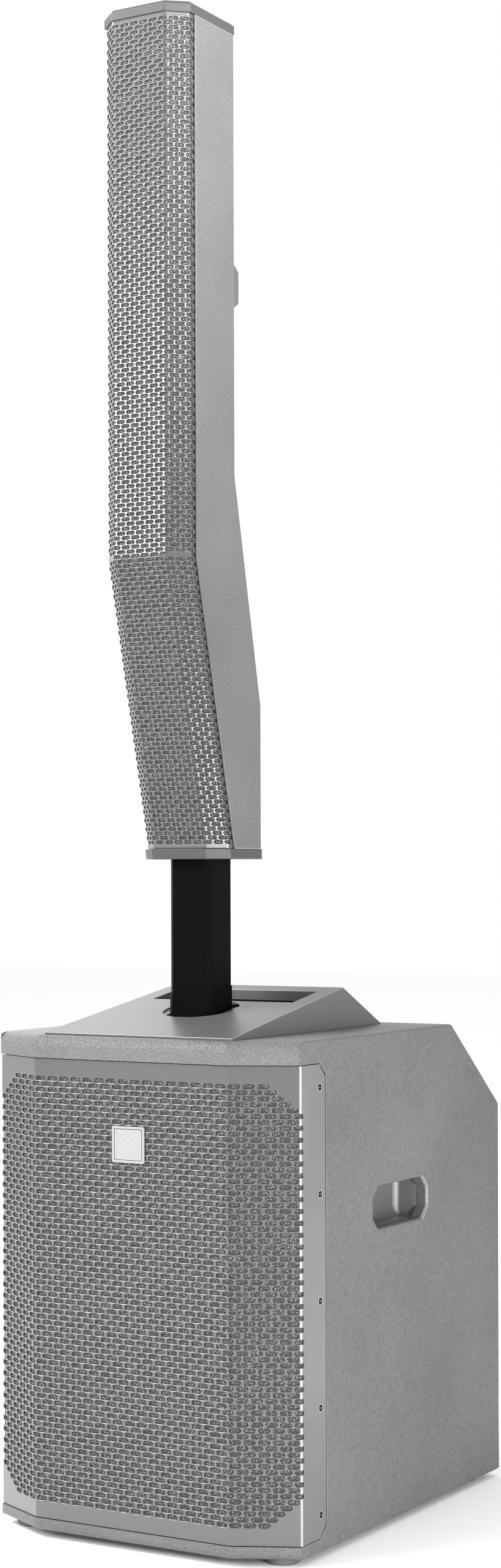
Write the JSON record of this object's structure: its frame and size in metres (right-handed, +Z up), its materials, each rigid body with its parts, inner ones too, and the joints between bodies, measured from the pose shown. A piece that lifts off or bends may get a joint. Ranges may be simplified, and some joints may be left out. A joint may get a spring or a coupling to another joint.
{
  "type": "pa speaker",
  "caption": "Powered subwoofer cabinet with a bent slim column of small drivers standing on a short square pole; carry pocket, side hand cups, rear controls.",
  "frame": {"origin": "on the floor, under the middle of the whole object", "axes": "+Z up, the front grilles face -Y, +X is to the right of someone looking at the front"},
  "size_m": [0.396, 0.533, 1.709],
  "materials": {
    "painted_wood": "textured paint",
    "bare_wood": "bare plywood",
    "grille_metal": "powder coat",
    "black_foam": "open foam",
    "grey_moulding": "textured moulding",
    "column_paint": "textured paint",
    "black_plastic": "moulded",
    "contact_block": "moulded with plated pins",
    "black_metal": "powder coat",
    "rubber": "matte",
    "steel": "plated",
    "contact_brass": "plated",
    "paper": "pressed paper",
    "display": "clear over black",
    "rocker": "polished",
    "board": "printed circuit board"
  },
  "bodies": {
    "subwoofer": {"top_panel": "painted_wood", "bottom_panel": "painted_wood", "side_panel_left": "painted_wood", "side_panel_right": "painted_wood", "rear_panel": "painted_wood", "bevel_panel": "painted_wood", "front_baffle": "bare_wood", "sub_grille": "grille_metal", "sub_grille_foam": "black_foam", "top_moulding": "grey_moulding", "side_cup_left": "grey_moulding", "side_cup_right": "grey_moulding", "badge": "grey_moulding", "pole_socket": "black_plastic", "combo_sockets": "black_plastic", "link_socket": "black_plastic", "mains_inlet": "black_plastic", "switch_bezel": "black_plastic", "port_tubes": "black_plastic", "socket_contacts": "contact_block", "woofer_frame": "black_metal", "control_plate": "black_metal", "heatsink": "black_metal", "grille_screws": "black_metal", "panel_screws": "black_metal", "woofer_screws": "black_metal", "rubber_feet": "rubber", "foot_screws": "steel", "amplifier_cover": "steel", "woofer_magnet": "steel", "mains_pins": "contact_brass", "phono_sockets": "contact_brass", "woofer_surround": "paper", "display_window": "display", "amplifier_boards": "board"},
    "pole": {"pole_tube": "black_metal", "pole_plugs": "black_plastic", "pole_contacts": "contact_block"},
    "column": {"column_body": "column_paint", "column_baffle": "black_plastic", "column_grille": "grille_metal", "column_grille_foam": "black_foam", "column_top_cap": "grey_moulding", "column_bottom_cap": "grey_moulding", "column_grip": "grey_moulding", "column_socket": "black_plastic", "column_contacts": "contact_block", "driver_frames": "black_metal", "driver_magnets": "steel"},
    "upper_driver_cones": {"upper_cones": "paper"},
    "lower_driver_cones": {"lower_cones": "paper"},
    "woofer_diaphragm": {"woofer_cone": "paper"},
    "encoder_push": {"encoder_shaft": "steel"},
    "encoder_dial": {"encoder_knob": "black_plastic"},
    "level_1": {"level_knob_1": "black_plastic"},
    "level_2": {"level_knob_2": "black_plastic"},
    "power_switch": {"power_rocker": "rocker"},
    "latch_1": {"combo_tab_1": "black_plastic"},
    "latch_2": {"combo_tab_2": "black_plastic"}
  },
  "joints": [
    {"name": "pole_lift", "type": "slide", "parent": "subwoofer", "child": "pole", "axis": [0, 0, 1], "range_m": [0, 0.13]},
    {"name": "column_lift", "type": "slide", "parent": "pole", "child": "column", "axis": [0, 0, 1], "range_m": [0, 0.06]},
    {"name": "woofer_travel", "type": "slide", "parent": "subwoofer", "child": "woofer_diaphragm", "axis": [0, -1, 0], "range_m": [-0.008, 0.008], "stiffness_N_per_m": 4000, "deforming": ["woofer_surround"]},
    {"name": "upper_cone_travel", "type": "slide", "parent": "column", "child": "upper_driver_cones", "axis": [0, -1, 0], "range_m": [-0.002, 0.002], "stiffness_N_per_m": 6000},
    {"name": "lower_cone_travel", "type": "slide", "parent": "column", "child": "lower_driver_cones", "axis": [0, -0.9704, -0.2413], "range_m": [-0.002, 0.002], "stiffness_N_per_m": 3600},
    {"name": "encoder_press", "type": "slide", "parent": "subwoofer", "child": "encoder_push", "axis": [0, -0.625, -0.7806], "range_m": [0, 0.0008], "stiffness_N_per_m": 2500, "springref_m": -0.0006},
    {"name": "encoder_turn", "type": "hinge", "parent": "encoder_push", "child": "encoder_dial", "pos_m": [-0.112, 0.18063, 0.52847], "axis": [0, 0.625, 0.7806], "continuous": true},
    {"name": "level_1_turn", "type": "hinge", "parent": "subwoofer", "child": "level_1", "pos_m": [0.112, 0.17438, 0.53347], "axis": [0, 0.625, 0.7806], "range_deg": [-150, 150]},
    {"name": "level_2_turn", "type": "hinge", "parent": "subwoofer", "child": "level_2", "pos_m": [0.066, 0.17438, 0.53347], "axis": [0, 0.625, 0.7806], "range_deg": [-150, 150]},
    {"name": "power_rock", "type": "hinge", "parent": "subwoofer", "child": "power_switch", "pos_m": [-0.002, 0.2485, 0.214], "axis": [1, 0, 0], "range_deg": [0, 18]},
    {"name": "latch_1_press", "type": "slide", "parent": "subwoofer", "child": "latch_1", "axis": [0, -0.625, -0.7806], "range_m": [0, 0.002], "stiffness_N_per_m": 500, "springref_m": -0.002},
    {"name": "latch_2_press", "type": "slide", "parent": "subwoofer", "child": "latch_2", "axis": [0, -0.625, -0.7806], "range_m": [0, 0.002], "stiffness_N_per_m": 500, "springref_m": -0.002}
  ],
  "couplings": [
    {"joint": "lower_cone_travel", "follows": "upper_cone_travel", "ratio": 1}
  ]
}
